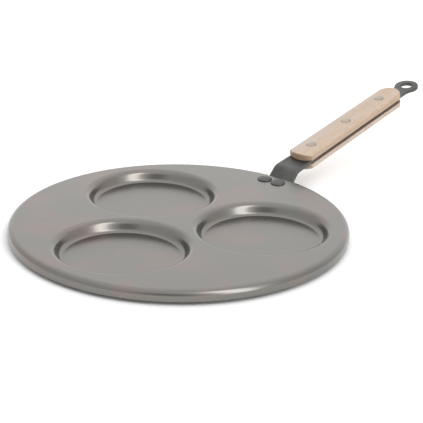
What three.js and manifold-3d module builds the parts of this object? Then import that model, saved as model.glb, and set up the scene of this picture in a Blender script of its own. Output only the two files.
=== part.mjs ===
// Pancake pan: a pressed steel plate with dished wells and a turned-down rim, on a riveted
// steel strap that is gripped between two beech scales.
// Sizes are in millimetres. +Z is up, the handle points along +X, and the pan stands on z = 0.

import * as THREE from 'three';
import { mergeVertices } from 'three/addons/utils/BufferGeometryUtils.js';
import Module from 'manifold-3d';

const wasm = await Module();
wasm.setup();

const degrees = (angle) => THREE.MathUtils.degToRad(angle);

// Plate. Bend radii are the inside ones of the folded sheet.
const SHEET = 2.5; // thickness of the pressed sheet
const WELL_COUNT = 3;
const WELL_MOUTH_RADIUS = 56; // where a well's shoulder leaves the flat top
const WELL_WEB = 3.5; // flat left between two neighbouring mouths
const RIM_LAND = 7.3; // flat left between a mouth and the rim's bend
const RIM_BEND = 2.5;
const RIM_SKIRT = 3.6; // straight drop below the rim's bend
const WELL_DEPTH = 9; // from the flat top down to a well's floor
const SHOULDER_BEND = 3.5;
const WALL_ANGLE = degrees(66); // steepest slope of a well's wall
const FLOOR_BEND = 4.4;

// Strap
const STRAP_THICKNESS = 3;
const STRAP_WIDTH = 21; // between the scales
const STRAP_FLARE = 1.8; // how much wider the strap is at the notch, each side
const NOTCH_LAND = 0.5; // flat left between the rim's bend and the notch that the strap rises through
const NOTCH_CLEARANCE = 0.5; // each side of the strap
const FOOT_MARGIN = 3; // steel beside the plate rivets' heads
const FOOT_TAIL = 7; // steel behind the plate rivets' heads
const FOOT_TAPER = 7; // length over which the foot narrows to the strap
const FOOT_NECK = 1; // length at the strap's own width, inside the notch
const FOOT_CORNER = 7;
const RISE_BEND = 6;
const RISE_ANGLE = degrees(45);
const RISE_LENGTH = 7.3; // straight between the two bends
const GRIP_BEND = 6;
const GRIP_ANGLE = degrees(9.75);

// Hanging eye
const EYE_HOLE_RADIUS = 5.3;
const EYE_RING_WIDTH = 5.4;
const NECK_LENGTH = 20; // from the scales' back end to the middle of the eye
const NECK_INSET = 3.4; // how much narrower the neck is than the eye, each side
const NECK_FILLET = 15;

// Beech scales
const SCALE_LENGTH = 149;
const SCALE_THICKNESS = 5.8;
const SCALE_OVERHANG = 1.5; // wood beyond the strap's edge, each side
const SCALE_CROWN = 1.5; // how much thicker a scale is along its middle than along its sides
const GRIP_TAPER = 1.2; // how much narrower the grip is at its back end
const SCALE_START = 14; // from the upper bend to the scales' front end
const SCALE_FRONT_BULGE = 4.6; // how far the front end bows out
const SCALE_BACK_BULGE = 8;

// Plate rivets
const PLATE_RIVET_SHANK_RADIUS = 3;
const PLATE_RIVET_HEAD_RING = 3.2; // how far a head reaches past its shank
const PLATE_RIVET_HEAD_HEIGHT = 1.8;
const PLATE_RIVET_GAP = 1.5; // between neighbouring heads
const PLATE_RIVET_INSET = 3.3; // from the notch to the heads

// Scale rivets, each a headed pin pressed into a headed tube
const SCALE_RIVET_COUNT = 3;
const SCALE_RIVET_START = 20; // from the scales' front end to the first
const SCALE_RIVET_END = 25; // from the last to the scales' back end
const SCALE_RIVET_HEAD_RING = 1.35; // how far a head reaches past its tube
const SCALE_RIVET_HEAD_SEAT = 1.1; // depth of the counterbore in the wood
const SCALE_RIVET_CROWN = 0.6; // how far the domed head rises above its rim
const PIN_RADIUS = 1.6;
const TUBE_WALL = 0.9;
const TUBE_END_GAP = 0.6; // left at each end of the pressed joint

// Fits and facets
const SEAT_GAP = 0.2; // between pieces that are clamped together
const HOLE_CLEARANCE = 0.25; // round a shank or a head
const JOIN = 1; // overlap of solids that become one piece
const CUT = 5; // how far a cutter runs past what it cuts
const PLATE_SIDES = 72;
const WELL_SIDES = 32;
const RIVET_SIDES = 16;
const ARC_SIDES = 8; // facets along each arc of a plan outline
const DOME_FACETS = 4; // facets from a rivet head's top to its rim
const BEND_FACET = degrees(30); // turn of one facet in a folded bend
const FACET_SLACK = 1e-9; // keeps a whole number of facets from being rounded up

const steel = new THREE.MeshStandardMaterial({ color: 0x9a9793, roughness: 0.42, metalness: 0.9 });
const darkSteel = new THREE.MeshStandardMaterial({ color: 0x565654, roughness: 0.5, metalness: 0.85 });
const brightSteel = new THREE.MeshStandardMaterial({ color: 0xc9c4bd, roughness: 0.35, metalness: 0.9 });
const beech = new THREE.MeshStandardMaterial({ color: 0xd3bea9, roughness: 0.65, metalness: 0 });

// Heights and radii that follow from the driving sizes
const wellPitchRadius = (2 * WELL_MOUTH_RADIUS + WELL_WEB) / (2 * Math.sin(Math.PI / WELL_COUNT));
const bendStartRadius = wellPitchRadius + WELL_MOUTH_RADIUS + RIM_LAND;
const plateRadius = bendStartRadius + RIM_BEND + SHEET;
const topHeight = WELL_DEPTH + SHEET;
const notchX = bendStartRadius - NOTCH_LAND;
const strapHeight = topHeight - SHEET - SEAT_GAP - STRAP_THICKNESS / 2;
const plateRivetHead = PLATE_RIVET_SHANK_RADIUS + PLATE_RIVET_HEAD_RING;
const plateRivetX = notchX - PLATE_RIVET_INSET - plateRivetHead;
const plateRivetOffset = plateRivetHead + PLATE_RIVET_GAP / 2;
const plateRivetY = { left: plateRivetOffset, right: -plateRivetOffset };
const footX = plateRivetX - plateRivetHead - FOOT_TAIL;
const footHalfWidth = plateRivetOffset + plateRivetHead + FOOT_MARGIN;
const tubeRadius = PIN_RADIUS + HOLE_CLEARANCE + TUBE_WALL;
const scaleRivetHead = tubeRadius + SCALE_RIVET_HEAD_RING;

// Places along the straight grip, from the upper bend
const scaleBack = SCALE_START + SCALE_LENGTH;
const scaleRivetSpan = SCALE_LENGTH - SCALE_RIVET_START - SCALE_RIVET_END;
const scaleRivetStep = scaleRivetSpan / (SCALE_RIVET_COUNT - 1);
const scaleRivetX = evenly(SCALE_RIVET_COUNT, SCALE_START + SCALE_RIVET_START, scaleRivetStep);
const eyeRadius = EYE_HOLE_RADIUS + EYE_RING_WIDTH;
const eyeCentre = scaleBack + NECK_LENGTH;
const gripLength = eyeCentre + eyeRadius;
const strapHalfWidth = STRAP_WIDTH / 2;
const notchHalfWidth = strapHalfWidth + STRAP_FLARE + NOTCH_CLEARANCE;
const scaleHalfWidth = strapHalfWidth + SCALE_OVERHANG;

// Places at even steps from the first.
function evenly(count, first, step) {
  return Array.from({ length: count }, (_, i) => first + i * step);
}

// Turns a closed geometry into a solid that can be cut and joined.
function solid(geometry) {
  const bare = geometry.clone();
  bare.deleteAttribute('normal');
  bare.deleteAttribute('uv');
  const merged = mergeVertices(bare);
  return new wasm.Manifold(
    new wasm.Mesh({
      numProp: 3,
      vertProperties: new Float32Array(merged.attributes.position.array),
      triVerts: new Uint32Array(merged.index.array),
    }),
  );
}

// Turns a solid back into a geometry.
function geometryOf(made) {
  const mesh = made.getMesh();
  const geometry = new THREE.BufferGeometry();
  geometry.setAttribute('position', new THREE.BufferAttribute(mesh.vertProperties, 3));
  geometry.setIndex(new THREE.BufferAttribute(mesh.triVerts, 1));
  geometry.computeVertexNormals();
  return geometry;
}

function piece(name, geometry, material) {
  const mesh = new THREE.Mesh(geometry, material);
  mesh.name = name;
  return mesh;
}

// Revolves a profile of (radius, height) points about Z. The profile runs from top to bottom.
function turned(profile, sides) {
  return new THREE.LatheGeometry([...profile].reverse(), sides).rotateX(Math.PI / 2);
}

// A round cutter along Z between two heights.
function drill(radius, low, high, sides) {
  const geometry = new THREE.CylinderGeometry(radius, radius, high - low, sides);
  return geometry.rotateX(Math.PI / 2).translate(0, 0, (low + high) / 2);
}

// A plan outline made solid along Z between two heights.
function prism(outline, low, high) {
  const options = { depth: high - low, bevelEnabled: false, curveSegments: ARC_SIDES };
  return new THREE.ExtrudeGeometry(outline, options).translate(0, 0, low);
}

// Both faces of a folded strip that follows straight runs and bends from a start on its middle line.
// A bend with a positive turn goes left, and its radius is the inside one.
function folded(start, heading, thickness, moves) {
  const left = [];
  const right = [];
  const at = start.clone();
  let angle = heading;
  const mark = () => {
    const across = new THREE.Vector2(-Math.sin(angle), Math.cos(angle)).multiplyScalar(thickness / 2);
    left.push(at.clone().add(across));
    right.push(at.clone().sub(across));
  };
  const advance = (length) => {
    at.x += length * Math.cos(angle);
    at.y += length * Math.sin(angle);
  };
  mark();
  for (const { run = 0, turn = 0, radius = 0 } of moves) {
    if (run > 0) {
      advance(run);
      mark();
    }
    const facets = Math.ceil(Math.abs(turn) / BEND_FACET - FACET_SLACK);
    const chord = 2 * (radius + thickness / 2) * Math.sin(Math.abs(turn) / facets / 2);
    for (let i = 0; i < facets; i += 1) {
      angle += turn / facets / 2;
      advance(chord);
      angle += turn / facets / 2;
      mark();
    }
  }
  return { left, right };
}

// The turn and the straight run of two opposite bends that step a sheet down by a height.
function stepDown(height, firstBend, secondBend, steepest) {
  const radii = firstBend + secondBend + SHEET;
  const turn = Math.min(steepest, Math.acos(Math.max(-1, 1 - height / radii)));
  const run = (height - radii * (1 - Math.cos(turn))) / Math.sin(turn);
  return [{ turn, radius: firstBend }, { run }, { turn: -turn, radius: secondBend }];
}

// The radius and the half angle of an arc that bows out by a bulge over a half width.
function bowedArc(halfWidth, bulge) {
  const radius = (halfWidth ** 2 + bulge ** 2) / (2 * bulge);
  return { radius, half: Math.atan2(halfWidth, radius - bulge) };
}

// The rimmed disc, before the wells are pressed into it.
function rimmedDisc() {
  const start = new THREE.Vector2(0, topHeight - SHEET / 2);
  const moves = [{ run: bendStartRadius }, { turn: -Math.PI / 2, radius: RIM_BEND }, { run: RIM_SKIRT }];
  const { left, right } = folded(start, 0, SHEET, moves);
  return turned([...left, ...right.reverse()], PLATE_SIDES);
}

// One well with a narrow flange, about its own axis.
function well() {
  const start = new THREE.Vector2(WELL_MOUTH_RADIUS + JOIN, topHeight - SHEET / 2);
  const moves = [{ run: JOIN }, ...stepDown(WELL_DEPTH, SHOULDER_BEND, FLOOR_BEND, WALL_ANGLE)];
  const { left, right } = folded(start, Math.PI, SHEET, moves);
  left.push(new THREE.Vector2(0, left.at(-1).y));
  right.push(new THREE.Vector2(0, right.at(-1).y));
  return turned([...right.reverse(), ...left], WELL_SIDES);
}

// The wells lie evenly round the plate, with the handle between two of them.
function wellPlaces() {
  const angles = evenly(WELL_COUNT, Math.PI / WELL_COUNT, (2 * Math.PI) / WELL_COUNT);
  return angles.map((angle) => [wellPitchRadius * Math.cos(angle), wellPitchRadius * Math.sin(angle)]);
}

// The holes for the plate rivets, as one cutter for each.
function plateRivetHoles() {
  const radius = PLATE_RIVET_SHANK_RADIUS + HOLE_CLEARANCE;
  const hole = drill(radius, -CUT, topHeight + CUT, RIVET_SIDES).translate(plateRivetX, 0, 0);
  return Object.values(plateRivetY).map((y) => hole.clone().translate(0, y, 0));
}

function platePiece() {
  let plate = solid(rimmedDisc());
  for (const [x, y] of wellPlaces()) {
    const hole = drill(WELL_MOUTH_RADIUS + JOIN / 2, -CUT, topHeight + CUT, WELL_SIDES);
    plate = plate.subtract(solid(hole.translate(x, y, 0)));
  }
  for (const [x, y] of wellPlaces()) {
    plate = plate.add(solid(well().translate(x, y, 0)));
  }
  const notchDepth = plateRadius + CUT - notchX;
  const notch = new THREE.BoxGeometry(notchDepth, 2 * notchHalfWidth, 2 * (topHeight + CUT));
  plate = plate.subtract(solid(notch.translate(notchX + notchDepth / 2, 0, 0)));
  for (const hole of plateRivetHoles()) {
    plate = plate.subtract(solid(hole));
  }
  return piece('pan_plate', geometryOf(plate), steel);
}

// The strap's side view, as the upper and lower faces of a folded bar in (x, z).
const strapFaces = folded(new THREE.Vector2(footX, strapHeight), 0, STRAP_THICKNESS, [
  { run: notchX - footX },
  { turn: RISE_ANGLE, radius: RISE_BEND },
  { run: RISE_LENGTH },
  { turn: GRIP_ANGLE - RISE_ANGLE, radius: GRIP_BEND },
  { run: gripLength },
]);

// The grip's own frame: its origin is on the strap's upper face where the upper bend ends.
const grip = new THREE.Group();
grip.position.set(strapFaces.left.at(-2).x, 0, strapFaces.left.at(-2).y);
grip.rotation.y = -GRIP_ANGLE;
grip.updateMatrix();

// The plan of the strap along the grip: a bar with a bowed end, a neck and a round eye.
function gripOutline() {
  const half = strapHalfWidth;
  const backHalf = half - GRIP_TAPER / 2;
  const bow = bowedArc(backHalf + SCALE_OVERHANG, SCALE_BACK_BULGE);
  const bowMiddle = scaleBack - bow.radius;
  const bowRadius = bow.radius - SCALE_OVERHANG;
  const neck = eyeRadius - NECK_INSET;
  const barAngle = Math.asin(backHalf / bowRadius);
  const neckAngle = Math.asin(neck / bowRadius);
  const filletY = neck + NECK_FILLET;
  const filletX = eyeCentre - Math.sqrt((eyeRadius + NECK_FILLET) ** 2 - filletY ** 2);
  const eyeAngle = Math.atan2(filletY, filletX - eyeCentre);
  const start = plateRivetX - grip.position.x;
  const flareStart = notchX - grip.position.x;
  const [flareEnd] = scaleRivetX;
  const flared = half + STRAP_FLARE;
  const outline = new THREE.Shape();
  outline.moveTo(flareStart, flared);
  outline.lineTo(start, flared);
  outline.lineTo(start, -flared);
  outline.lineTo(flareStart, -flared);
  outline.lineTo(flareEnd, -half);
  outline.absarc(bowMiddle, 0, bowRadius, -barAngle, -neckAngle, false);
  outline.absarc(filletX, -filletY, NECK_FILLET, Math.PI / 2, Math.PI - eyeAngle, true);
  outline.absarc(eyeCentre, 0, eyeRadius, -eyeAngle, 0, false);
  outline.absarc(eyeCentre, 0, eyeRadius, 0, eyeAngle, false);
  outline.absarc(filletX, filletY, NECK_FILLET, Math.PI + eyeAngle, 1.5 * Math.PI, true);
  outline.absarc(bowMiddle, 0, bowRadius, neckAngle, barAngle, false);
  outline.lineTo(flareEnd, half);
  return outline;
}

// The plan of the flared foot, as far as the notch.
function footOutline() {
  const half = footHalfWidth;
  const neck = strapHalfWidth + STRAP_FLARE;
  const taperEnd = notchX - FOOT_NECK;
  const corner = footX + FOOT_CORNER;
  const outline = new THREE.Shape();
  outline.moveTo(notchX, -neck);
  outline.lineTo(notchX, neck);
  outline.lineTo(taperEnd, neck);
  outline.lineTo(taperEnd - FOOT_TAPER, half);
  outline.absarc(corner, half - FOOT_CORNER, FOOT_CORNER, Math.PI / 2, Math.PI, false);
  outline.absarc(corner, FOOT_CORNER - half, FOOT_CORNER, Math.PI, 1.5 * Math.PI, false);
  outline.lineTo(taperEnd - FOOT_TAPER, -half);
  outline.lineTo(taperEnd, -neck);
  return outline;
}

function strapPiece() {
  const side = new THREE.Shape([...strapFaces.left, ...[...strapFaces.right].reverse()]);
  const width = 2 * (footHalfWidth + JOIN);
  const bar = new THREE.ExtrudeGeometry(side, { depth: width, bevelEnabled: false });
  bar.rotateX(Math.PI / 2).translate(0, width / 2, 0);
  const reach = plateRadius;
  const footPlan = solid(prism(footOutline(), -reach, reach));
  const gripPlan = solid(prism(gripOutline(), -reach, reach).applyMatrix4(grip.matrix));
  let strap = solid(bar).intersect(footPlan.add(gripPlan));
  const low = -STRAP_THICKNESS - CUT;
  const eye = drill(EYE_HOLE_RADIUS, low, CUT, 4 * ARC_SIDES).translate(eyeCentre, 0, 0);
  strap = strap.subtract(solid(eye.applyMatrix4(grip.matrix)));
  for (const x of scaleRivetX) {
    const hole = drill(tubeRadius + HOLE_CLEARANCE, low, CUT, RIVET_SIDES).translate(x, 0, 0);
    strap = strap.subtract(solid(hole.applyMatrix4(grip.matrix)));
  }
  for (const hole of plateRivetHoles()) {
    strap = strap.subtract(solid(hole));
  }
  return piece('handle_strap', geometryOf(strap), darkSteel);
}

// The plan of a scale: straight sides between two bowed ends.
function scaleOutline() {
  const front = bowedArc(scaleHalfWidth, SCALE_FRONT_BULGE);
  const back = bowedArc(scaleHalfWidth, SCALE_BACK_BULGE);
  const outline = new THREE.Shape();
  outline.absarc(SCALE_START + front.radius, 0, front.radius, Math.PI - front.half, Math.PI, false);
  outline.absarc(SCALE_START + front.radius, 0, front.radius, Math.PI, Math.PI + front.half, false);
  outline.absarc(scaleBack - back.radius, 0, back.radius, -back.half, 0, false);
  outline.absarc(scaleBack - back.radius, 0, back.radius, 0, back.half, false);
  return outline;
}

// The cross-section of a scale, flat below and crowned above.
function scaleSection() {
  const half = scaleHalfWidth;
  const crown = bowedArc(half, SCALE_CROWN);
  const middle = SCALE_THICKNESS - crown.radius;
  const top = Math.PI / 2;
  const outline = new THREE.Shape();
  outline.moveTo(-half, 0);
  outline.lineTo(half, 0);
  outline.absarc(0, middle, crown.radius, top - crown.half, top, false);
  outline.absarc(0, middle, crown.radius, top, top + crown.half, false);
  return outline;
}

// Narrows a scale evenly towards its back end.
function narrowed(geometry) {
  const { position } = geometry.attributes;
  for (let i = 0; i < position.count; i += 1) {
    const along = (position.getX(i) - SCALE_START) / SCALE_LENGTH;
    position.setY(i, position.getY(i) * (1 - (along * GRIP_TAPER) / (2 * scaleHalfWidth)));
  }
  return geometry;
}

// A scale with its flat face on z = 0, drilled and counterbored for the rivets.
function scaleGeometry() {
  const options = { depth: SCALE_LENGTH + 2 * CUT, bevelEnabled: false, curveSegments: ARC_SIDES };
  const bar = new THREE.ExtrudeGeometry(scaleSection(), options);
  const along = new THREE.Matrix4().makeBasis(
    new THREE.Vector3(0, 1, 0),
    new THREE.Vector3(0, 0, 1),
    new THREE.Vector3(1, 0, 0),
  );
  bar.applyMatrix4(along).translate(SCALE_START - CUT, 0, 0);
  const above = SCALE_THICKNESS + CUT;
  const even = solid(bar).intersect(solid(prism(scaleOutline(), -CUT, above)));
  let scale = solid(narrowed(geometryOf(even)));
  const seat = SCALE_THICKNESS - SCALE_RIVET_HEAD_SEAT;
  for (const x of scaleRivetX) {
    const hole = drill(tubeRadius + HOLE_CLEARANCE, -CUT, above, RIVET_SIDES);
    const bore = drill(scaleRivetHead + HOLE_CLEARANCE, seat, above, RIVET_SIDES);
    scale = scale.subtract(solid(hole.translate(x, 0, 0)));
    scale = scale.subtract(solid(bore.translate(x, 0, 0)));
  }
  return geometryOf(scale);
}

// The oval dome of a rivet head as profile points, from its top on the axis to its rim at a height.
function dome(radius, crown, rimHeight) {
  const angles = evenly(DOME_FACETS + 1, 0, Math.PI / 2 / DOME_FACETS);
  return angles.map((a) => new THREE.Vector2(radius * Math.sin(a), rimHeight + crown * Math.cos(a)));
}

// A solid rivet through the plate and the strap's foot, domed at both ends.
function plateRivetGeometry() {
  const upper = topHeight + SEAT_GAP;
  const lower = strapHeight - STRAP_THICKNESS / 2 - SEAT_GAP;
  const above = dome(plateRivetHead, PLATE_RIVET_HEAD_HEIGHT, upper);
  const below = dome(plateRivetHead, PLATE_RIVET_HEAD_HEIGHT, 0);
  const shank = [upper, lower].map((height) => new THREE.Vector2(PLATE_RIVET_SHANK_RADIUS, height));
  const underside = below.reverse().map((point) => new THREE.Vector2(point.x, lower - point.y));
  return turned([...above, ...shank, ...underside], RIVET_SIDES);
}

// The outer faces of the clamped scales carry the heads, at these distances from the strap's upper face.
const headSeat = SEAT_GAP + SCALE_THICKNESS - SCALE_RIVET_HEAD_SEAT + SEAT_GAP;
const headThickness = SCALE_RIVET_HEAD_SEAT - SEAT_GAP;
const stackHeight = 2 * headSeat + STRAP_THICKNESS;

// Half a scale rivet: a domed head above z = 0 and a pin below it.
function pinGeometry() {
  const length = stackHeight - TUBE_END_GAP;
  const profile = [
    ...dome(scaleRivetHead, SCALE_RIVET_CROWN, headThickness),
    new THREE.Vector2(scaleRivetHead, 0),
    new THREE.Vector2(PIN_RADIUS, 0),
    new THREE.Vector2(PIN_RADIUS, -length),
    new THREE.Vector2(0, -length),
  ];
  return turned(profile, RIVET_SIDES);
}

// The other half: a domed head above z = 0 and a tube below it, open at its end.
function tubeGeometry() {
  const length = stackHeight - TUBE_END_GAP;
  const profile = [
    ...dome(scaleRivetHead, SCALE_RIVET_CROWN, headThickness),
    new THREE.Vector2(scaleRivetHead, 0),
    new THREE.Vector2(tubeRadius, 0),
    new THREE.Vector2(tubeRadius, -length),
    new THREE.Vector2(PIN_RADIUS + HOLE_CLEARANCE, -length),
    new THREE.Vector2(PIN_RADIUS + HOLE_CLEARANCE, 0),
    new THREE.Vector2(0, 0),
  ];
  return turned(profile, RIVET_SIDES);
}

// Assembly
const pan = new THREE.Group();
pan.add(platePiece(), strapPiece(), grip);

for (const [side, y] of Object.entries(plateRivetY)) {
  const rivet = piece(`plate_rivet_${side}`, plateRivetGeometry(), darkSteel);
  rivet.position.set(plateRivetX, y, 0);
  pan.add(rivet);
}

const upperScale = piece('upper_scale', scaleGeometry(), beech);
upperScale.position.z = SEAT_GAP;
const lowerScale = piece('lower_scale', scaleGeometry().rotateX(Math.PI), beech);
lowerScale.position.z = -STRAP_THICKNESS - SEAT_GAP;
grip.add(upperScale, lowerScale);

scaleRivetX.forEach((x, i) => {
  const pin = piece(`scale_rivet_pin_${i + 1}`, pinGeometry(), brightSteel);
  pin.position.set(x, 0, headSeat);
  const tube = piece(`scale_rivet_tube_${i + 1}`, tubeGeometry().rotateX(Math.PI), brightSteel);
  tube.position.set(x, 0, -STRAP_THICKNESS - headSeat);
  grip.add(pin, tube);
});

// The origin is under the middle of the whole pan's box.
const tip = grip.position.x + gripLength * Math.cos(GRIP_ANGLE) + STRAP_THICKNESS * Math.sin(GRIP_ANGLE);
pan.position.x = (plateRadius - tip) / 2;

export default pan;
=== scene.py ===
# %% [markdown]
# # Dressing a pancake pan
# The real pan is a handful of pieces riveted together: a plate pressed from carbon steel sheet, a
# bent steel strap, two beech scales and the rivets that hold them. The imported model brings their
# real sizes and places, but its curves are facets. This lesson makes a fine mesh and a finish for
# each piece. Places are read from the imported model, and the sizes here are those of its source, so
# nothing has to be fitted by eye.

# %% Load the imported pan
import math

import bmesh
import bpy
from mathutils import Matrix, Quaternion, Vector


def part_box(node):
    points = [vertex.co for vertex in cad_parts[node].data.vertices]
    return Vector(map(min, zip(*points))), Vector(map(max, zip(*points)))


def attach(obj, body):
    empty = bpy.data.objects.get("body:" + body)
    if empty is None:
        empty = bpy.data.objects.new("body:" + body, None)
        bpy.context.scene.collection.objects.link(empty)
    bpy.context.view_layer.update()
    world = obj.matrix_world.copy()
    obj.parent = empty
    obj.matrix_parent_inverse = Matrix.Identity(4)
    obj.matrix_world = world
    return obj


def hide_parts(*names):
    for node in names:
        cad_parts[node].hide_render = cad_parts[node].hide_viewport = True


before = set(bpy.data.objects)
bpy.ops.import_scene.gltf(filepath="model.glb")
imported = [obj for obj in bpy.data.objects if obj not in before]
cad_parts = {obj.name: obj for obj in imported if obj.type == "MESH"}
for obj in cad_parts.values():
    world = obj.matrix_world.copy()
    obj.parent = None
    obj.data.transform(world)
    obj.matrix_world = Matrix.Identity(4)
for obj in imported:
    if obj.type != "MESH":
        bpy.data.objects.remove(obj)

MM = 0.001
QUARTER = math.radians(90)
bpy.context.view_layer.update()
print("nodes:", len(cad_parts))

# %% [markdown]
# ## The camera
# A pan is photographed for a shop from well back with a long lens, so that its round plate isn't
# stretched. The camera could be placed by hand in the viewport. Here it is worked out instead: it
# circles the middle of the plate's top at a distance, an azimuth and an elevation, and is then
# turned a little off the plate so that the handle fits in the picture.

# %% Camera at the photograph's angle
CAMERA_DISTANCE = 1281.5 * MM
CAMERA_AZIMUTH = math.radians(49.69)
CAMERA_ELEVATION = math.radians(22.03)
CAMERA_YAW = math.radians(-1.15)
CAMERA_PITCH = math.radians(0.34)
CAMERA_ROLL = math.radians(-0.54)
CAMERA_LENS = 137.7

plate_low, plate_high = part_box("pan_plate")
plate_radius = (plate_high.y - plate_low.y) / 2
top = plate_high.z
plate_middle = Vector((plate_low.x + plate_radius, 0, top))


def outward(azimuth, elevation):
    """The direction from the plate to a place at an azimuth and an elevation, in radians."""
    level = math.cos(elevation)
    return Vector((-level * math.sin(azimuth), -level * math.cos(azimuth), math.sin(elevation)))


camera = bpy.data.objects.new("camera", bpy.data.cameras.new("camera"))
bpy.context.scene.collection.objects.link(camera)
bpy.context.scene.camera = camera
camera.data.lens = CAMERA_LENS
back = outward(CAMERA_AZIMUTH, CAMERA_ELEVATION)
turns = [((0, 1, 0), CAMERA_YAW), ((1, 0, 0), CAMERA_PITCH), ((0, 0, -1), CAMERA_ROLL)]
aim = (-back).to_track_quat("-Z", "Y")
for axis, angle in turns:
    aim = aim @ Quaternion(axis, angle)
camera.rotation_mode = "QUATERNION"
camera.rotation_quaternion = aim
camera.location = plate_middle + CAMERA_DISTANCE * back
print("camera at mm:", [round(c / MM) for c in camera.location])

# %% [markdown]
# ## Sections that are folded, as sheet metal is
# The plate and the strap are both bent from flat stock, so their sections are straight runs and
# arcs. One helper follows such a line. A curve object could do the same, but a few lines of code
# keep every radius exact and let the same line be revolved or swept.

# %% Follow runs and bends
BEND_STEP = math.radians(6)


def trace(start, heading, moves):
    """Points along a line in a plane, and its last heading.
    A move is (length, 0) for a straight run or (radius, turn) for a bend. A left turn is positive."""
    at = Vector(start)
    points = [at]
    for size, turn in moves:
        steps = max(1, math.ceil(abs(turn) / BEND_STEP))
        stride = 2 * size * math.sin(abs(turn) / steps / 2) if turn else size
        for _ in range(steps):
            heading += turn / steps / 2
            at = at + stride * Vector((math.cos(heading), math.sin(heading)))
            heading += turn / steps / 2
            points.append(at)
    return points, heading


def arc(middle, radius, start, end, steps):
    """Points on an arc in a plane, both ends included."""
    angles = [start + (end - start) * i / steps for i in range(steps + 1)]
    return [Vector((middle[0] + radius * math.cos(a), middle[1] + radius * math.sin(a))) for a in angles]


print("a quarter bend has", len(trace((0, 0), 0, [(MM, QUARTER)])[0]), "points")

# %% [markdown]
# ## From mesh to piece
# Each finished mesh becomes an object that rides on the pan and stands for its imported node. Smooth
# shading alone would smear the light round a cut edge. So steel sheet and wood get a small bevel there
# and weighted normals, which keep large faces flat and let only the bevel and the bends turn.

# %% Helpers for pieces
CREASE = math.radians(40)
BEVEL_SEGMENTS = 3


def add_piece(name, bm, node, place=Matrix.Identity(4)):
    """An object from a bmesh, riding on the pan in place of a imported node."""
    mesh = bpy.data.meshes.new(name)
    bm.to_mesh(mesh)
    bm.free()
    mesh.shade_smooth()
    piece = bpy.data.objects.new(name, mesh)
    bpy.context.scene.collection.objects.link(piece)
    piece.matrix_world = place
    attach(piece, "root")
    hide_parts(node)
    return piece


def break_edges(piece, radius):
    """Rounds the sharp edges of a piece."""
    bevel = piece.modifiers.new("broken edges", "BEVEL")
    bevel.width = radius
    bevel.segments = BEVEL_SEGMENTS
    bevel.limit_method = "ANGLE"
    bevel.angle_limit = CREASE


def keep_flat(piece):
    """Keeps the large faces of a piece flat in shading."""
    piece.modifiers.new("flat faces", "WEIGHTED_NORMAL").keep_sharp = True


def thicken(piece, thickness, offset):
    """Gives a sheet its thickness, to one side of its face or to both."""
    sheet = piece.modifiers.new("sheet", "SOLIDIFY")
    sheet.thickness = thickness
    sheet.offset = offset
    sheet.use_even_offset = True
    sheet.use_quality_normals = True


def upright(bm):
    """Turns the faces of an open sheet so that most of it faces up."""
    bmesh.ops.recalc_face_normals(bm, faces=bm.faces)
    if sum(face.normal.z * face.calc_area() for face in bm.faces) < 0:
        bmesh.ops.reverse_faces(bm, faces=bm.faces)


print("helpers ready")

# %% [markdown]
# ## The plate's face
# A press draws three wells and the rim into one round blank. A well has a rounded shoulder, a
# sloping wall and a rounded foot, and it is the roundings that catch the long highlights. The wells
# and the rim could be carved from a subdivided disc, but its quads would run across them. Each gets
# its own section instead, to be revolved about its own middle.

# %% Sizes of the pressed plate
SHEET = 2.5 * MM
WELL_RADIUS = 56 * MM
WELL_WEB = 3.5 * MM
RIM_BEND = 5 * MM
RIM_SKIRT = 3.6 * MM
WELL_DEPTH = 9 * MM
SHOULDER_BEND = 6 * MM
WALL_ANGLE = math.radians(66)
FLOOR_BEND = 4.4 * MM
WELL_COUNT = 3

bend_start = plate_radius - RIM_BEND
well_pitch = (2 * WELL_RADIUS + WELL_WEB) / (2 * math.sin(math.pi / WELL_COUNT))
wall_run = WELL_DEPTH - (SHOULDER_BEND + FLOOR_BEND) * (1 - math.cos(WALL_ANGLE))
well_section, _ = trace((WELL_RADIUS, top), math.pi, [
    (SHOULDER_BEND, WALL_ANGLE),
    (wall_run / math.sin(WALL_ANGLE), 0),
    (FLOOR_BEND, -WALL_ANGLE),
])
rim_section, _ = trace((bend_start, top), 0, [(RIM_BEND, -QUARTER), (RIM_SKIRT, 0)])
print("well floor in mm: radius and height", [round(c / MM, 2) for c in well_section[-1]])

# %% [markdown]
# ## Rings and strips
# The press tool for a well is turned on a lathe, so a well is round about its own middle. A ring of
# vertices for each point of the section, and quads between neighbouring rings, make the same shape.
# The screw modifier could revolve the section too, but its seam would have to be merged afterwards.

# %% Rings and strips
WELL_SIDES = 180


def ring(bm, middle, radius, height, angles):
    """Vertices on a level arc round a middle."""
    places = [(middle.x + radius * math.cos(a), middle.y + radius * math.sin(a), height) for a in angles]
    return [bm.verts.new(place) for place in places]


def strip(bm, rings, closed):
    """Quads between neighbouring rings."""
    for one, other in zip(rings, rings[1:]):
        count = len(one)
        for i in range(count if closed else count - 1):
            j = (i + 1) % count
            bm.faces.new((one[i], one[j], other[j], other[i]))


def press_well(bm, middle):
    """One well with its floor."""
    angles = [2 * math.pi * i / WELL_SIDES for i in range(WELL_SIDES)]
    rings = [ring(bm, middle, point.x, point.y, angles) for point in well_section]
    strip(bm, rings, closed=True)
    bm.faces.new(rings[-1])


print("a well has", len(well_section), "rings of", WELL_SIDES)

# %% [markdown]
# ## The notch
# The strap rises through a notch that is cut in the rim. A boolean could cut it, but would leave
# slivers in the bend. The rim's rings simply stop at the notch's two straight sides instead.

# %% Turn the rim down, but for the notch
NOTCH_HALF = 12.8 * MM
RIM_SIDES = 360


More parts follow.
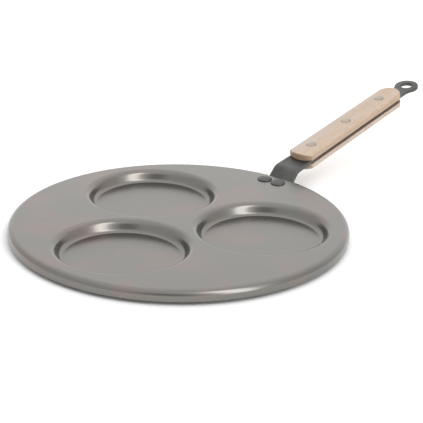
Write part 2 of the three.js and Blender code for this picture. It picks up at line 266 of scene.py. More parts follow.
def turn_rim(bm):
    """The turned-down rim, open at the notch."""
    rings = []
    for point in rim_section:
        gap = math.asin(NOTCH_HALF / point.x)
        sweep = 2 * (math.pi - gap)
        angles = [gap + sweep * i / RIM_SIDES for i in range(RIM_SIDES + 1)]
        rings.append(ring(bm, plate_middle, point.x, point.y, angles))
    strip(bm, rings, closed=False)
    bm.edges.new((rings[0][0], rings[0][-1]))


print("notch half angle:", round(math.degrees(math.asin(NOTCH_HALF / bend_start)), 2))

# %% [markdown]
# ## The land
# What the press leaves flat is the land, with two punched holes for the rivets. Triangles fill it
# between the rings, and on a flat face they can't be seen. Then the whole face gets the sheet's
# thickness downwards, so that wall, floor and rim are equally thick, as in a real pressing. Two
# separate faces for top and underside would have to be kept parallel by hand.

# %% Fill the land between the wells and the rim
PLATE_HOLE_RADIUS = 3.25 * MM
HOLE_SIDES = 48
PLATE_RIVETS = ["plate_rivet_left", "plate_rivet_right"]
CUT_EDGE = 0.35 * MM
TINY = 0.001 * MM


def middle_of(node):
    """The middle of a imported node's box."""
    low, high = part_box(node)
    return (low + high) / 2


plate_mesh = bmesh.new()
for i in range(WELL_COUNT):
    angle = math.pi * (2 * i + 1) / WELL_COUNT
    press_well(plate_mesh, plate_middle + well_pitch * Vector((math.cos(angle), math.sin(angle), 0)))
turn_rim(plate_mesh)
for node in PLATE_RIVETS:
    hole = middle_of(node)
    hole.z = top
    matrix = Matrix.Translation(hole)
    bmesh.ops.create_circle(plate_mesh, radius=PLATE_HOLE_RADIUS, segments=HOLE_SIDES, matrix=matrix)
on_top = [
    edge for edge in plate_mesh.edges
    if len(edge.link_faces) < 2 and min(v.co.z for v in edge.verts) > top - TINY
]
bmesh.ops.triangle_fill(plate_mesh, use_beauty=True, edges=on_top)
upright(plate_mesh)
plate = add_piece("pressed_plate", plate_mesh, "pan_plate")
thicken(plate, SHEET, -1)
break_edges(plate, CUT_EDGE)
keep_flat(plate)
print("plate faces:", len(plate.data.polygons))

# %% [markdown]
# ## The strap
# The strap is cut flat, with a flared foot at one end and a hanging eye at the other, and is then
# folded twice. The same order works here: each flat stretch is an outline that is filled, the two
# bends are rows across the strap, and one thickness is given to all of it at the end. A flat bar
# swept along a curve would be quicker, but it couldn't spread into a foot or end in a ring.

# %% Fold line of the strap
STRAP_THICKNESS = 3 * MM
STRAP_HALF = 10.5 * MM
STRAP_FLARE = 1.8 * MM
SCALE_RIVETS = [34 * MM, 86 * MM, 138 * MM]
STRAP_BEND = 7.5 * MM
RISE_ANGLE = math.radians(45)
RISE_LENGTH = 7.3 * MM
GRIP_ANGLE = math.radians(9.75)
NOTCH_LAND = 0.5 * MM

strap_low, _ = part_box("handle_strap")
strap_height = strap_low.z + STRAP_THICKNESS / 2
notch_x = plate_middle.x + bend_start - NOTCH_LAND
rise, grip_heading = trace((notch_x, strap_height), 0, [
    (STRAP_BEND, RISE_ANGLE),
    (RISE_LENGTH, 0),
    (STRAP_BEND, GRIP_ANGLE - RISE_ANGLE),
])
tilt = Matrix.Rotation(-grip_heading, 4, "Y")
middle_line = Matrix.Translation((rise[-1].x, 0, rise[-1].y)) @ tilt
grip = middle_line @ Matrix.Translation((0, 0, STRAP_THICKNESS / 2))


def strap_half(along):
    """Half the strap's width at a distance along the grip. It flares from the first rivet to the notch."""
    flare_start = notch_x - grip.translation.x
    share = (SCALE_RIVETS[0] - along) / (SCALE_RIVETS[0] - flare_start)
    return STRAP_HALF + STRAP_FLARE * max(0, min(1, share))


print("grip starts at mm:", [round(c / MM, 2) for c in grip.translation])

# %% [markdown]
# ## The foot
# The foot spreads under the plate, so that two rivets fit side by side and share the load. It is
# cut with round corners, so its outline is a few straight lines and an arc. All of it could be
# drawn, but one half is enough: the other is its mirror image.

# %% Outline of the foot
FOOT_HALF = 16.15 * MM
FOOT_TAPER = 7 * MM
FOOT_NECK = 1 * MM
FOOT_CORNER = 7 * MM
CORNER_STEPS = 16


def foot_outline():
    """The flared foot under the plate, from the notch round its tail and back."""
    taper_end = notch_x - FOOT_NECK
    taper_start = taper_end - FOOT_TAPER
    corner = strap_low.x + FOOT_CORNER
    side = FOOT_HALF - FOOT_CORNER
    neck = STRAP_HALF + STRAP_FLARE
    left = [Vector((notch_x, neck)), Vector((taper_end, neck)), Vector((taper_start, FOOT_HALF))]
    left += arc((corner, side), FOOT_CORNER, QUARTER, 2 * QUARTER, CORNER_STEPS)
    return left + [Vector((point.x, -point.y)) for point in reversed(left)]


print("foot outline points:", len(foot_outline()))

# %% [markdown]
# ## The grip and the hanging eye
# Between the scales the strap is a plain bar, narrower than the wood, so that the hand feels only
# beech. Behind them it narrows to a neck and ends in a ring to hang the pan by, with a fillet where
# a sharp corner would crack. Each arc starts where its neighbour ends, which a curve drawn by hand
# would only come close to.

# %% Outline of the grip and its hanging eye
SCALE_START = 14 * MM
SCALE_LENGTH = 149 * MM
SCALE_OVERHANG = 1.5 * MM
GRIP_TAPER = 1.2 * MM
BACK_BULGE = 8 * MM
NECK_LENGTH = 20 * MM
NECK_INSET = 3.4 * MM
NECK_FILLET = 15 * MM
EYE_HOLE_RADIUS = 5.3 * MM
EYE_RADIUS = 10.7 * MM
EYE_STEPS = 48
BOW_STEPS = 6
scale_end = SCALE_START + SCALE_LENGTH
eye_x = scale_end + NECK_LENGTH


def bow_radius(half_width, bulge):
    """The radius of an arc that bows out by a bulge over a half width."""
    return (half_width ** 2 + bulge ** 2) / (2 * bulge)


def grip_outline():
    """The strap along the grip: its left side from the bend to the tip, and back along the right."""
    end_half = STRAP_HALF - GRIP_TAPER / 2
    scale_bow = bow_radius(end_half + SCALE_OVERHANG, BACK_BULGE)
    bow = scale_bow - SCALE_OVERHANG
    neck = EYE_RADIUS - NECK_INSET
    fillet_y = neck + NECK_FILLET
    fillet_x = eye_x - math.sqrt((EYE_RADIUS + NECK_FILLET) ** 2 - fillet_y ** 2)
    eye_angle = math.atan2(fillet_y, fillet_x - eye_x)
    left = [Vector((0, strap_half(0))), Vector((SCALE_RIVETS[0], STRAP_HALF))]
    bow_middle = (scale_end - scale_bow, 0)
    left += arc(bow_middle, bow, math.asin(end_half / bow), math.asin(neck / bow), BOW_STEPS)
    left += arc((fillet_x, fillet_y), NECK_FILLET, -QUARTER, eye_angle - math.pi, CORNER_STEPS)
    left += arc((eye_x, 0), EYE_RADIUS, eye_angle, 0, EYE_STEPS)[1:]
    return left + [Vector((point.x, -point.y)) for point in reversed(left[:-1])]


print("grip outline points:", len(grip_outline()))

# %% [markdown]
# ## Cut, folded and thickened
# A workshop cuts the blank, folds it in a press brake and breaks its edges. A modifier could bend a
# finished bar, but it would bend its holes as well. Here the flat stretches are filled outlines, the
# bends are rows across, and the thickness goes equally to both sides of the middle line, so that each
# bend gets its inside and outside radius.

# %% Cut, fold and thicken the strap
SCALE_HOLE_RADIUS = 3 * MM
STRAP_EDGE = 0.45 * MM


def loop(bm, points, place):
    """A closed line of edges through plan points, set in place."""
    verts = [bm.verts.new(place @ Vector((point.x, point.y, 0))) for point in points]
    return [bm.edges.new((verts[i - 1], verts[i])) for i in range(len(verts))]


def circle(x, y, radius):
    """Points round a drilled hole."""
    return arc((x, y), radius, 0, 2 * math.pi, HOLE_SIDES)[:-1]


strap_mesh = bmesh.new()
foot_level = Matrix.Translation((0, 0, strap_height))
foot_edges = loop(strap_mesh, foot_outline(), foot_level)
for node in PLATE_RIVETS:
    hole = middle_of(node)
    foot_edges += loop(strap_mesh, circle(hole.x, hole.y, PLATE_HOLE_RADIUS), foot_level)
bmesh.ops.triangle_fill(strap_mesh, use_beauty=True, edges=foot_edges)
grip_edges = loop(strap_mesh, grip_outline(), middle_line)
grip_edges += loop(strap_mesh, circle(eye_x, 0, EYE_HOLE_RADIUS), middle_line)
for x in SCALE_RIVETS:
    grip_edges += loop(strap_mesh, circle(x, 0, SCALE_HOLE_RADIUS), middle_line)
bmesh.ops.triangle_fill(strap_mesh, use_beauty=True, edges=grip_edges)
rows = []
for point in rise:
    half = strap_half((grip.inverted() @ Vector((point.x, 0, point.y))).x)
    rows.append([strap_mesh.verts.new((point.x, y, point.y)) for y in (-half, half)])
strip(strap_mesh, rows, closed=False)
bmesh.ops.remove_doubles(strap_mesh, verts=strap_mesh.verts, dist=TINY)
upright(strap_mesh)
strap = add_piece("folded_strap", strap_mesh, "handle_strap")
thicken(strap, STRAP_THICKNESS, 0)
break_edges(strap, STRAP_EDGE)
keep_flat(strap)
print("strap faces:", len(strap.data.polygons))

# %% [markdown]
# ## The beech scales
# A scale is a strip of beech, flat against the strap and slightly crowned above, so that the grip
# fills the hand. A spindle moulder cuts that section along its whole length, and its ends are sawn
# to a bow. Then all edges are sanded. A stretched cube with one bevel would have neither crown nor
# bow. So a grid is laid over the plan, and each point drops by the crown and by the roundings.

# %% Heights of a scale
SCALE_HALF = STRAP_HALF + SCALE_OVERHANG
SCALE_THICKNESS = 5.8 * MM
SCALE_CROWN = 1.5 * MM
SCALE_EDGE = 1 * MM
FRONT_BULGE = 4.6 * MM
BLEND_POWER = 4


def bow_drop(side, bulge):
    """How far an arc that bows out by a bulge over the scale's width has fallen at a place across it."""
    radius = bow_radius(SCALE_HALF, bulge)
    return radius - math.sqrt(radius ** 2 - side ** 2)


def edge_drop(distance):
    """How far a rounded edge has fallen at a distance from it."""
    reach = min(SCALE_EDGE, max(0, SCALE_EDGE - distance))
    return SCALE_EDGE - math.sqrt(SCALE_EDGE ** 2 - reach ** 2)


def scale_point(side, share, offset):
    """A point of the upper face, from its place across, its share of the length and an offset along it."""
    front = SCALE_START + bow_drop(side, FRONT_BULGE)
    end = scale_end - bow_drop(side, BACK_BULGE)
    x = front + (end - front) * share + offset
    fallen_side = edge_drop(SCALE_HALF - abs(side))
    fallen_end = edge_drop(min(x - front, end - x))
    fallen = (fallen_side ** BLEND_POWER + fallen_end ** BLEND_POWER) ** (1 / BLEND_POWER)
    narrowing = 1 - (x - SCALE_START) / SCALE_LENGTH * GRIP_TAPER / (2 * SCALE_HALF)
    return Vector((x, side * narrowing, SCALE_THICKNESS - bow_drop(side, SCALE_CROWN) - fallen))


print("a scale's side is", round((SCALE_THICKNESS - SCALE_CROWN) / MM, 2), "mm high")

# %% [markdown]
# ## A solid block
# The crowned face alone would be a shell, and wood is solid. So the same grid is laid again on the
# flat that lies against the strap, and a wall joins the two borders. One large face would close it
# too, but it would break into slivers when it is cut into triangles. The rows lie closer together near
# the edges, where the roundings need them.

# %% Lay the grid and close it below
EDGE_STEPS = 8
ACROSS_STEPS = 16
ALONG_STEPS = 60
CM = 10 * MM


def border(rows):
    """The outer points of a grid, in order."""
    return rows[0] + [row[-1] for row in rows[1:-1]] + rows[-1][::-1] + [row[0] for row in rows[-2:0:-1]]


def scale_mesh():
    """A scale with its flat face on z = 0 and the strap's bend at x = 0."""
    eased = [SCALE_EDGE * (1 - math.cos(QUARTER * i / EDGE_STEPS)) for i in range(EDGE_STEPS + 1)]
    inner = SCALE_HALF - SCALE_EDGE
    across = [d - SCALE_HALF for d in eased]
    across += [inner * (2 * i / ACROSS_STEPS - 1) for i in range(1, ACROSS_STEPS)]
    across += [SCALE_HALF - d for d in reversed(eased)]
    shares = [i / ALONG_STEPS for i in range(1, ALONG_STEPS)]
    along = [(0, d) for d in eased]
    along += [(share, SCALE_EDGE * (1 - 2 * share)) for share in shares]
    along += [(1, -d) for d in reversed(eased)]
    bm = bmesh.new()
    crowned = [[bm.verts.new(scale_point(y, *place)) for y in across] for place in along]
    flat = [[bm.verts.new((point.co.x, point.co.y, 0)) for point in row] for row in crowned]
    strip(bm, crowned, closed=False)
    strip(bm, flat, closed=False)
    strip(bm, [border(crowned), border(flat)], closed=True)
    bmesh.ops.recalc_face_normals(bm, faces=bm.faces)
    return bm


trial = scale_mesh()
print("a scale holds", round(trial.calc_volume() / CM ** 3, 1), "cm3 of wood")
trial.free()

# %% [markdown]
# ## Turned pieces
# Rivets and the drills that make room for them are round, so each is a half section revolved about
# its axis. A sphere squashed to a dome would have the wrong rim, and a revolved section is also
# how the real rivet would be drawn.

# %% Revolve a half section
TURNED_SIDES = 64
DOME_STEPS = 14


def turned(profile, along=(0,)):
    """Closed solids from (radius, height) points that start and end on the axis, at places along x."""
    bm = bmesh.new()
    angles = [2 * math.pi * i / TURNED_SIDES for i in range(TURNED_SIDES)]
    for x in along:
        middle = Vector((x, 0, 0))
        rings = [ring(bm, middle, radius, height, angles) for radius, height in profile]
        strip(bm, rings, closed=True)
    bmesh.ops.remove_doubles(bm, verts=bm.verts, dist=TINY)
    bmesh.ops.recalc_face_normals(bm, faces=bm.faces)
    return bm


def dome(radius, crown, height):
    """An oval dome's half section, from its top on the axis to its rim at a height."""
    steps = [QUARTER * i / DOME_STEPS for i in range(DOME_STEPS + 1)]
    return [(radius * math.sin(a), height + crown * math.cos(a)) for a in steps]


print("a dome has", len(dome(2 * MM, MM, 0)), "points")

# %% [markdown]
# ## A stepped drill
# Each rivet needs a hole through the wood and a shallow seat for its head. Two drills could make them
# one after the other, but a stepped drill makes both at once and keeps them on one axis. It is a
# turned piece too, and all the drills of a scale share one mesh.

# %% Drills for the rivets
SCALE_HEAD_RADIUS = 4.1 * MM
HEAD_SEAT = 1.1 * MM
CLEARANCE = 0.25 * MM
DRILL_OVERRUN = 2 * MM


def drill_mesh():
    """All the rivet holes of a scale as one stepped cutter."""
    seat = SCALE_THICKNESS - HEAD_SEAT
    bore = SCALE_HEAD_RADIUS + CLEARANCE
    high = SCALE_THICKNESS + DRILL_OVERRUN
    profile = [(0, high), (bore, high), (bore, seat), (SCALE_HOLE_RADIUS, seat)]
    profile += [(SCALE_HOLE_RADIUS, -DRILL_OVERRUN), (0, -DRILL_OVERRUN)]
    bm = turned(profile, SCALE_RIVETS)
    mesh = bpy.data.meshes.new("drills")
    bm.to_mesh(mesh)
    bm.free()
    return mesh


print("a seat is", round(2 * (SCALE_HEAD_RADIUS + CLEARANCE) / MM, 2), "mm across")

# %% [markdown]
# ## Drilled wood
# The edges of the wood are broken with sandpaper, and then it is drilled. The holes could be built
# into the grid, but a boolean with the drills keeps the grid plain. The result is kept as a plain
# mesh, so that the drills can be thrown away, and points that the cut left almost in one place are
# welded.

# %% Drill and counterbore the scales for their rivets
WOOD_EDGE = 0.2 * MM
SEAT_GAP = 0.2 * MM
WELD = 0.005 * MM


def beech_scale(name, node, place):
    """One scale with broken edges, drilled, in its place on the strap."""
    scale = add_piece(name, scale_mesh(), node, place)
    break_edges(scale, WOOD_EDGE)
    drills = bpy.data.objects.new("drills", drill_mesh())
    bpy.context.scene.collection.objects.link(drills)
    drills.matrix_world = place
    holes = scale.modifiers.new("rivet holes", "BOOLEAN")
    holes.object = drills
    holes.solver = "EXACT"
    bpy.context.view_layer.update()
    cut = bpy.data.meshes.new_from_object(scale.evaluated_get(bpy.context.evaluated_depsgraph_get()))
    scale.modifiers.clear()
    scale.data = cut
    bpy.data.objects.remove(drills)
    welded = bmesh.new()
    welded.from_mesh(cut)
    bmesh.ops.remove_doubles(welded, verts=welded.verts, dist=WELD)
    welded.to_mesh(cut)
    welded.free()
    cut.set_sharp_from_angle(angle=CREASE)
    keep_flat(scale)
    return scale


turn_over = Matrix.Rotation(math.pi, 4, "X")
upper_place = grip @ Matrix.Translation((0, 0, SEAT_GAP))
lower_place = grip @ Matrix.Translation((0, 0, -STRAP_THICKNESS - SEAT_GAP)) @ turn_over
upper_scale = beech_scale("upper_beech_scale", "upper_scale", upper_place)
lower_scale = beech_scale("lower_beech_scale", "lower_scale", lower_place)
print("scale faces:", len(upper_scale.data.polygons))

# %% [markdown]
# ## Plate rivets
# Two solid rivets hold the strap's foot under the plate, with a low domed head on each side. A dome
# laid on the plate would look the same from above, but a whole rivet also shows from below and fills
# its hole.

# %% Plate rivets
PLATE_HEAD_RADIUS = 6.2 * MM
PLATE_SHANK_RADIUS = 3 * MM
PLATE_HEAD_CROWN = 1.8 * MM


def add_rivet(look, node, profile, place):
    """A turned rivet with crisp rims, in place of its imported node."""
    rivet = add_piece(f"{look}_{node}", turned(profile), node, place)
    rivet.data.set_sharp_from_angle(angle=CREASE)
    return rivet


def plate_rivet(node):
    """A solid rivet with a dome at both ends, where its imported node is."""
    low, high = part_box(node)
    half = (high.z - low.z) / 2
    rim = half - PLATE_HEAD_CROWN
    upper = dome(PLATE_HEAD_RADIUS, PLATE_HEAD_CROWN, rim) + [(PLATE_SHANK_RADIUS, rim)]
    lower = [(radius, -height) for radius, height in reversed(upper)]
    place = Matrix.Translation(middle_of(node))
    return add_rivet("domed", node, upper + lower, place)


plate_rivets = [plate_rivet(node) for node in PLATE_RIVETS]
print("plate rivets:", [rivet.name for rivet in plate_rivets])

# %% [markdown]
# ## Two-piece rivets
# Hammering a rivet would split the wood, so a headed pin is pressed into a headed tube instead. One
# solid pin would look the same from outside, but the two halves are separate pieces. Both share one
# head section, and the tube has a bore and is turned over.

# %% Scale rivets
PIN_RADIUS = 1.6 * MM
TUBE_RADIUS = 2.75 * MM
TUBE_END_GAP = 0.6 * MM
SCALE_HEAD_CROWN = 0.6 * MM
SCALE_HEAD_THICKNESS = HEAD_SEAT - SEAT_GAP
head_height = 2 * SEAT_GAP + SCALE_THICKNESS - HEAD_SEAT
shank = 2 * head_height + STRAP_THICKNESS - TUBE_END_GAP
head = dome(SCALE_HEAD_RADIUS, SCALE_HEAD_CROWN, SCALE_HEAD_THICKNESS) + [(SCALE_HEAD_RADIUS, 0)]
pin_profile = head + [(PIN_RADIUS, 0), (PIN_RADIUS, -shank), (0, -shank)]
tube_profile = head + [(TUBE_RADIUS, 0), (TUBE_RADIUS, -shank), (PIN_RADIUS + CLEARANCE, -shank)]
tube_profile += [(PIN_RADIUS + CLEARANCE, 0), (0, 0)]


def scale_rivets(kind, profile, height, turn):
    """One half of every scale rivet, set along the grip."""
    made = []
    for i, x in enumerate(SCALE_RIVETS, start=1):
        place = grip @ Matrix.Translation((x, 0, height)) @ turn
        node = f"scale_rivet_{kind}_{i}"
        made.append(add_rivet("bright", node, profile, place))
    return made


pins = scale_rivets("pin", pin_profile, head_height, Matrix.Identity(4))
tubes = scale_rivets("tube", tube_profile, -STRAP_THICKNESS - head_height, turn_over)
print("scale rivets:", len(pins) + len(tubes), "halves")

# %% [markdown]
# ## Building finishes from nodes
# Every finish is a small tree of nodes. Clicking trees together is the usual way, and a helper that
# adds a node with its settings and links in one call keeps the code as short as the picture.

# %% Node helpers


def add_node(tree, kind, inputs=None, **settings):
    """A shader node with its settings. An input is a value, or another node's output to link."""
    made = tree.nodes.new("ShaderNode" + kind)
    for name, value in settings.items():
        setattr(made, name, value)
    for name, value in (inputs or {}).items():
        if isinstance(value, bpy.types.NodeSocket):
            tree.links.new(value, made.inputs[name])
        else:
            made.inputs[name].default_value = value
    return made


def new_finish(name, metallic):
    """A material, its tree and its shader."""
    material = bpy.data.materials.new(name)
    material.use_nodes = True
    shader = material.node_tree.nodes["Principled BSDF"]
    shader.inputs["Metallic"].default_value = metallic
    return material, material.node_tree, shader


print("node helpers ready")

# %% [markdown]
# ## Layers of a finish
# A real skin is never even, so every finish here is noise that chooses between two colours, two
# roughnesses or two heights. Painted textures could do that too, but they need unwrapped meshes. A
# mix node keeps its sockets for numbers, vectors and colours side by side, so the ones for colours
# are picked by their numbers.

# %% Noise, spans, blends and relief
NOISE_DETAIL = 2
COLOUR_SOCKETS = (0, 6, 7)
COLOUR_RESULT = 2


def noise(tree, coordinates, width, length=None, detail=NOISE_DETAIL, shift=0):
    """A noise value with patches of a width, and of a length along x where they are drawn out.
    A shift along x picks other patches of the same endless noise."""
    stretch = (width / (length or width), 1, 1)
    mapping = {"Vector": coordinates, "Scale": stretch, "Location": (shift, 0, 0)}
    mapped = add_node(tree, "Mapping", mapping)
    inputs = {"Vector": mapped.outputs[0], "Scale": 1 / width, "Detail": detail}
    return add_node(tree, "TexNoise", inputs).outputs["Fac"]


def remap(tree, value, span, to=(0, 1)):
    """Maps a span of values to another, and holds them there."""
    names = ("Value", "From Min", "From Max", "To Min", "To Max")
    return add_node(tree, "MapRange", dict(zip(names, (value, *span, *to))), clamp=True).outputs[0]


def blend(tree, share, one, other, mode="MIX"):
    """A colour between two others, by a share."""
    inputs = dict(zip(COLOUR_SOCKETS, (share, one, other)))
    return add_node(tree, "Mix", inputs, data_type="RGBA", blend_type=mode).outputs[COLOUR_RESULT]


def bump(tree, shader, height, distance, strength):
    """Raises a shader's surface by a height value."""
    inputs = {"Height": height, "Distance": distance, "Strength": strength}
    tree.links.new(add_node(tree, "Bump", inputs).outputs[0], shader.inputs["Normal"])


print("layers ready, with noise of detail", NOISE_DETAIL)

# %% [markdown]
# ## Carbon steel
# The plate is bare carbon steel with a satin skin. Its colour isn't even: rolling and cleaning
# leave a few warm clouds, some centimetres wide, on a cool grey, and a fine grain that breaks up the
# shine. A picture of steel would repeat and stretch in the wells, so noise in the object's own space
# is used: it runs through land, wall and floor alike. Most of its values count as cool, which is what
# keeps the warm clouds few.

# %% Satin steel of the plate
PLATE_WARM = (0.228, 0.197, 0.185, 1)
PLATE_COOL = (0.2005, 0.197, 0.183, 1)
PLATE_ROUGHNESS = (0.21, 0.27)
PLATE_CLOUD = 45 * MM
PLATE_CLOUD_SHIFT = 500 * MM
PLATE_CLOUD_SPAN = (0.36, 0.54)
PLATE_GRAIN = 0.7 * MM
PLATE_RELIEF = (0.01 * MM, 0.3)
NOISE_SPAN = (0.3, 0.7)


def plate_finish():
    """Satin carbon steel with faint clouds and a fine grain."""
    material, tree, shader = new_finish("satin carbon steel", 1.0)
    coordinates = add_node(tree, "TexCoord").outputs["Object"]
    clouds = noise(tree, coordinates, PLATE_CLOUD, shift=PLATE_CLOUD_SHIFT)
    grain = noise(tree, coordinates, PLATE_GRAIN)
    colour = blend(tree, remap(tree, clouds, PLATE_CLOUD_SPAN), PLATE_WARM, PLATE_COOL)
    tree.links.new(colour, shader.inputs["Base Color"])
    tree.links.new(remap(tree, grain, NOISE_SPAN, PLATE_ROUGHNESS), shader.inputs["Roughness"])
    bump(tree, shader, grain, *PLATE_RELIEF)
    return material


plate.data.materials.append(plate_finish())
print("plate roughness", PLATE_ROUGHNESS)

# %% [markdown]
# ## Drawn steel
# The strap and the plate rivets are darker and duller than the plate, because nobody scours them.
# They could simply be painted grey, but then they would ignore the room. They are metal too, with a
# darker colour, small clouds and a rougher grain.

# %% Darker steel of the strap and the plate rivets
STRAP_LIGHT = (0.127, 0.126, 0.122, 1)
STRAP_DARK = (0.094, 0.094, 0.091, 1)
STRAP_ROUGHNESS = (0.42, 0.52)
DRAWN_CLOUD = 17 * MM
DRAWN_CLOUD_DETAIL = 4
DRAWN_CLOUD_SPAN = (0.38, 0.62)
DRAWN_GRAIN = 0.55 * MM
DRAWN_RELIEF = (0.02 * MM, 0.4)


def drawn_finish(name, light, dark, roughness):
    """Drawn steel, a little uneven, between two colours and two roughnesses."""
    material, tree, shader = new_finish(name, 1.0)
    coordinates = add_node(tree, "TexCoord").outputs["Object"]
    clouds = noise(tree, coordinates, DRAWN_CLOUD, detail=DRAWN_CLOUD_DETAIL)
    grain = noise(tree, coordinates, DRAWN_GRAIN)
    colour = blend(tree, remap(tree, clouds, DRAWN_CLOUD_SPAN), light, dark)
    tree.links.new(colour, shader.inputs["Base Color"])
    tree.links.new(remap(tree, grain, NOISE_SPAN, roughness), shader.inputs["Roughness"])
    bump(tree, shader, grain, *DRAWN_RELIEF)
    return material


strap.data.materials.append(drawn_finish("dark strap steel", STRAP_LIGHT, STRAP_DARK, STRAP_ROUGHNESS))
rivet_finish = drawn_finish("dark rivet steel", STRAP_LIGHT, STRAP_DARK, STRAP_ROUGHNESS)
for rivet in plate_rivets:
    rivet.data.materials.append(rivet_finish)
print("dark steel on", 1 + len(plate_rivets), "pieces")

# %% [markdown]
# ## Bright rivets
# The heads in the wood were polished when the grip was sanded. They could have a tree of their own,
# but the same one serves, with lighter colours and a lower roughness, and keeps the steels related.

# %% Bright steel of the scale rivets
BRIGHT_LIGHT = (0.39, 0.345, 0.30, 1)
BRIGHT_DARK = (0.325, 0.29, 0.255, 1)
BRIGHT_ROUGHNESS = (0.18, 0.26)
bright_finish = drawn_finish("bright rivet steel", BRIGHT_LIGHT, BRIGHT_DARK, BRIGHT_ROUGHNESS)
for rivet in pins + tubes:
    rivet.data.materials.append(bright_finish)
print("bright steel on", len(pins + tubes), "pieces")

# %% [markdown]
# ## Beech
# Beech is a pale wood with a straight, quiet grain: soft bands some millimetres wide, fine streaks,
# and short dark flecks where the wood's rays are cut lengthways. A scale is pinker on the side that
# lay nearer to the bark. Across a sawn end the cells are seen end on, drink more wax and look
# browner. The long sides get painted shade, and the flat against the steel gets a darker painted
# shade for the slit between the scales. A picture of a board would show its face on the ends as well.
# Here every layer is noise in the scale's own space, drawn out along the grip, so that it runs
# through the block, and the direction that a face looks in chooses its shade.

# %% Colours of the beech
UPPER_PINK = (0.52, 0.435, 0.38, 1)
UPPER_TAN = (0.515, 0.395, 0.292, 1)
# Painted light: the lower scale's colours are paler than the upper's, standing in for the light that the
# white floor throws up under the handle.
LOWER_PINK_PAINTED_BOUNCE = (0.60, 0.52, 0.45, 1)
LOWER_TAN_PAINTED_BOUNCE = (0.58, 0.51, 0.44, 1)
BEECH_STREAK = (0.40, 0.295, 0.21, 1)
BEECH_FLECK = (0.34, 0.23, 0.15, 1)
BEECH_END = (0.36, 0.24, 0.155, 1)
# Painted shade: this colour darkens the long sides, which look sideways.
BEECH_SIDE_PAINTED_SHADE = (0.84, 0.81, 0.79, 1)
# Painted shade: this colour darkens the flat against the strap, for the shade in the slit between the
# scales.
BEECH_SLIT_PAINTED_SHADE = (0.62, 0.49, 0.39, 1)
print("colours of the face:", UPPER_PINK[:3], "to", UPPER_TAN[:3])

# %% [markdown]
# ## Layers of the grain
# The layers go on in the order in which they lie in the wood: the broad change from bark to heart,
# soft bands that bend it, streaks and flecks, and last what each cut face adds. A wave texture could
# draw the bands, but it would look ruled.

# %% Waxed beech
BARK_SIDE = 9 * MM
BAND = (6.7 * MM, 110 * MM)
STREAK = (1.1 * MM, 37 * MM)
STREAK_DETAIL = 3
FLECK = (0.62 * MM, 2.8 * MM)
FLECK_DETAIL = 1
STREAK_SPAN = (0.5, 0.75)
STREAK_SHARE = (0, 0.5)
FLECK_SPAN = (0.54, 0.68)
FLECK_SHARE = (0, 0.6)
FACING = (0.5, 0.9)
FACING_DOWN = (-0.5, -0.9)
END_SHARE = (0, 0.85)
BEECH_ROUGHNESS = (0.5, 0.62)
BEECH_RELIEF = (0.03 * MM, 0.5)
WAX_GLOSS = 0.35


def beech_finish(name, pink, tan):
    """Pale beech with its grain along the grip, from a pink side to a tan one."""
    material, tree, shader = new_finish(name, 0.0)
    places = add_node(tree, "TexCoord").outputs
    across = add_node(tree, "SeparateXYZ", {0: places["Object"]}).outputs["Y"]
    facing = add_node(tree, "SeparateXYZ", {0: places["Normal"]}).outputs
    end = add_node(tree, "Math", {0: facing["X"]}, operation="ABSOLUTE").outputs[0]
    side = add_node(tree, "Math", {0: facing["Y"]}, operation="ABSOLUTE").outputs[0]
    bands = noise(tree, places["Object"], *BAND)
    streaks = noise(tree, places["Object"], *STREAK, detail=STREAK_DETAIL)
    flecks = noise(tree, places["Object"], *FLECK, detail=FLECK_DETAIL)
    bark_span = (-BARK_SIDE, BARK_SIDE)
    shift = remap(tree, bands, NOISE_SPAN, bark_span)
    towards_bark = add_node(tree, "Math", {0: across, 1: shift}, operation="ADD").outputs[0]
    colour = blend(tree, remap(tree, towards_bark, bark_span), tan, pink)
    colour = blend(tree, remap(tree, streaks, STREAK_SPAN, STREAK_SHARE), colour, BEECH_STREAK)
    colour = blend(tree, remap(tree, flecks, FLECK_SPAN, FLECK_SHARE), colour, BEECH_FLECK)
    # painted shade on the faces that look sideways
    colour = blend(tree, remap(tree, side, FACING), colour, BEECH_SIDE_PAINTED_SHADE, mode="MULTIPLY")
    colour = blend(tree, remap(tree, end, FACING, END_SHARE), colour, BEECH_END)
    # painted shade on the flat that lies against the strap
    colour = blend(tree, remap(tree, facing["Z"], FACING_DOWN), colour, BEECH_SLIT_PAINTED_SHADE, mode="MULTIPLY")
    tree.links.new(colour, shader.inputs["Base Color"])
    tree.links.new(remap(tree, streaks, NOISE_SPAN, BEECH_ROUGHNESS), shader.inputs["Roughness"])
    shader.inputs["Specular IOR Level"].default_value = WAX_GLOSS
    bump(tree, shader, streaks, *BEECH_RELIEF)
    return material


upper_scale.data.materials.append(beech_finish("pink beech", UPPER_PINK, UPPER_TAN))
# the lower scale takes paler colours as painted bounce light
lower_scale.data.materials.append(beech_finish("beech with painted bounce light", LOWER_PINK_PAINTED_BOUNCE, LOWER_TAN_PAINTED_BOUNCE))
print("beech on", [scale.name for scale in (upper_scale, lower_scale)])

# %% [markdown]
# ## The sweep
# The pan lies on a white sweep, a sheet so large that its far edge is out of sight. A shadow catcher
# would do for the shadow, but a real floor also throws light up under the rim. It is only a plane
# with a white, dull skin, and it doesn't ride on the pan, because it isn't part of it.

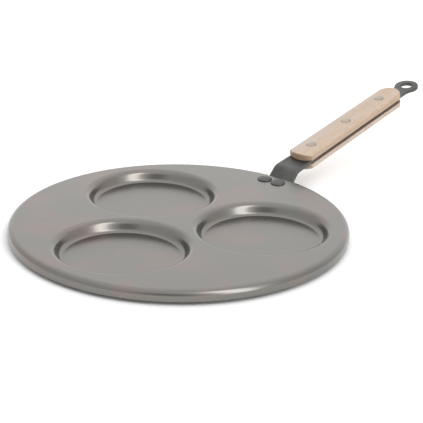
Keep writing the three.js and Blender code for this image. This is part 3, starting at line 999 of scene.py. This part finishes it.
# %% White floor
FLOOR_SIZE = 60
FLOOR_DROP = 0.1 * MM
FLOOR_WHITE = (0.97, 0.97, 0.97, 1)
floor_mesh = bmesh.new()
bmesh.ops.create_grid(floor_mesh, x_segments=1, y_segments=1, size=FLOOR_SIZE / 2)
floor_data = bpy.data.meshes.new("floor")
floor_mesh.to_mesh(floor_data)
floor_mesh.free()
floor = bpy.data.objects.new("floor", floor_data)
floor.location.z = -FLOOR_DROP
bpy.context.scene.collection.objects.link(floor)
floor_material, _, floor_shader = new_finish("white sweep", 0.0)
floor_shader.inputs["Base Color"].default_value = FLOOR_WHITE
floor_shader.inputs["Roughness"].default_value = 1.0
floor_shader.inputs["Specular IOR Level"].default_value = 0.0
floor_data.materials.append(floor_material)
print("floor:", FLOOR_SIZE, "m across")

# %% [markdown]
# ## Soft patches of light
# A studio's walls are never evenly lit, and the corner with the camera is dark. A photograph of a
# studio wrapped round the scene would show that, but soft round patches of a plain world can be
# turned and dimmed one by one.

# %% A patch of the room


def direction(azimuth, elevation):
    """A direction from the pan, in degrees. Azimuth 0 is the camera's side, and plus is to its right."""
    return outward(CAMERA_AZIMUTH - math.radians(azimuth), math.radians(elevation))


def lobe(tree, towards, angles, strength):
    """A soft patch of the room about a direction, full up to one angle and gone at another."""
    place = add_node(tree, "TexCoord").outputs["Generated"]
    inputs = {0: place, 1: direction(*towards)}
    along = add_node(tree, "VectorMath", inputs, operation="DOT_PRODUCT").outputs["Value"]
    inner, outer = [math.cos(math.radians(angle)) for angle in angles]
    inputs = {"Value": along, "From Min": outer, "From Max": inner, "To Max": strength}
    return add_node(tree, "MapRange", inputs, interpolation_type="SMOOTHSTEP").outputs[0]


print("the camera's side is", [round(c, 2) for c in direction(0, 0)])

# %% [markdown]
# ## The room
# Satin steel shows the room that it stands in, so the light is read from the reflections: a pale
# room, brighter behind the pan, overhead and round the lamp, and dim where the camera stands. One
# even sky would be simpler, but it would leave the steel flat and grey. Four patches are enough.

# %% The room
WHITE = (1, 1, 1, 1)
ROOM = 0.93
BACKDROP = 0.34
BACKDROP_TOWARDS = (172, 28)
BACKDROP_ANGLES = (5, 62)
CEILING = 0.27
CEILING_TOWARDS = (0, 90)
CEILING_ANGLES = (10, 60)
LAMP_GLOW = 0.35
LAMP_TOWARDS = (40, 34)
LAMP_ANGLES = (8, 34)
DIM_CORNER = -0.47
DIM_TOWARDS = (-6, 25)
DIM_ANGLES = (6, 24)

world = bpy.data.worlds.new("studio")
bpy.context.scene.world = world
world.use_nodes = True
room = world.node_tree
patches = [
    lobe(room, BACKDROP_TOWARDS, BACKDROP_ANGLES, BACKDROP),
    lobe(room, CEILING_TOWARDS, CEILING_ANGLES, CEILING),
    lobe(room, LAMP_TOWARDS, LAMP_ANGLES, LAMP_GLOW),
    lobe(room, DIM_TOWARDS, DIM_ANGLES, DIM_CORNER),
]
light = ROOM
for patch in patches:
    light = add_node(room, "Math", {0: light, 1: patch}, operation="ADD").outputs[0]
room.links.new(light, room.nodes["Background"].inputs["Strength"])
room.nodes["Background"].inputs["Color"].default_value = WHITE
bpy.context.scene.view_settings.view_transform = "Standard"
print("room from", round(ROOM + DIM_CORNER, 2), "to", round(ROOM + BACKDROP, 2))

# %% [markdown]
# ## The soft box
# A soft box is a lamp behind a white cloth, and its tall shape is the bright patch in each well. An
# area lamp has the same even face, in the middle of the glow that the room already has there. Its
# power follows from its size and from how bright the cloth is, so it can be resized without changing
# how bright its reflection is.

# %% The soft box
BOX_DISTANCE = 3.0
BOX_SIZE = (1.1, 3.4)
BOX_RADIANCE = 2.8
box_towards = direction(*LAMP_TOWARDS)
softbox = bpy.data.objects.new("softbox", bpy.data.lights.new("softbox", "AREA"))
bpy.context.scene.collection.objects.link(softbox)
softbox.data.shape = "RECTANGLE"
softbox.data.size, softbox.data.size_y = BOX_SIZE
softbox.data.energy = BOX_RADIANCE * math.pi * BOX_SIZE[0] * BOX_SIZE[1]
softbox.location = plate_middle + BOX_DISTANCE * box_towards
softbox.rotation_mode = "QUATERNION"
softbox.rotation_quaternion = (-box_towards).to_track_quat("-Z", "Y")
softbox.visible_camera = False
print("soft box of", round(softbox.data.energy, 1), "W")
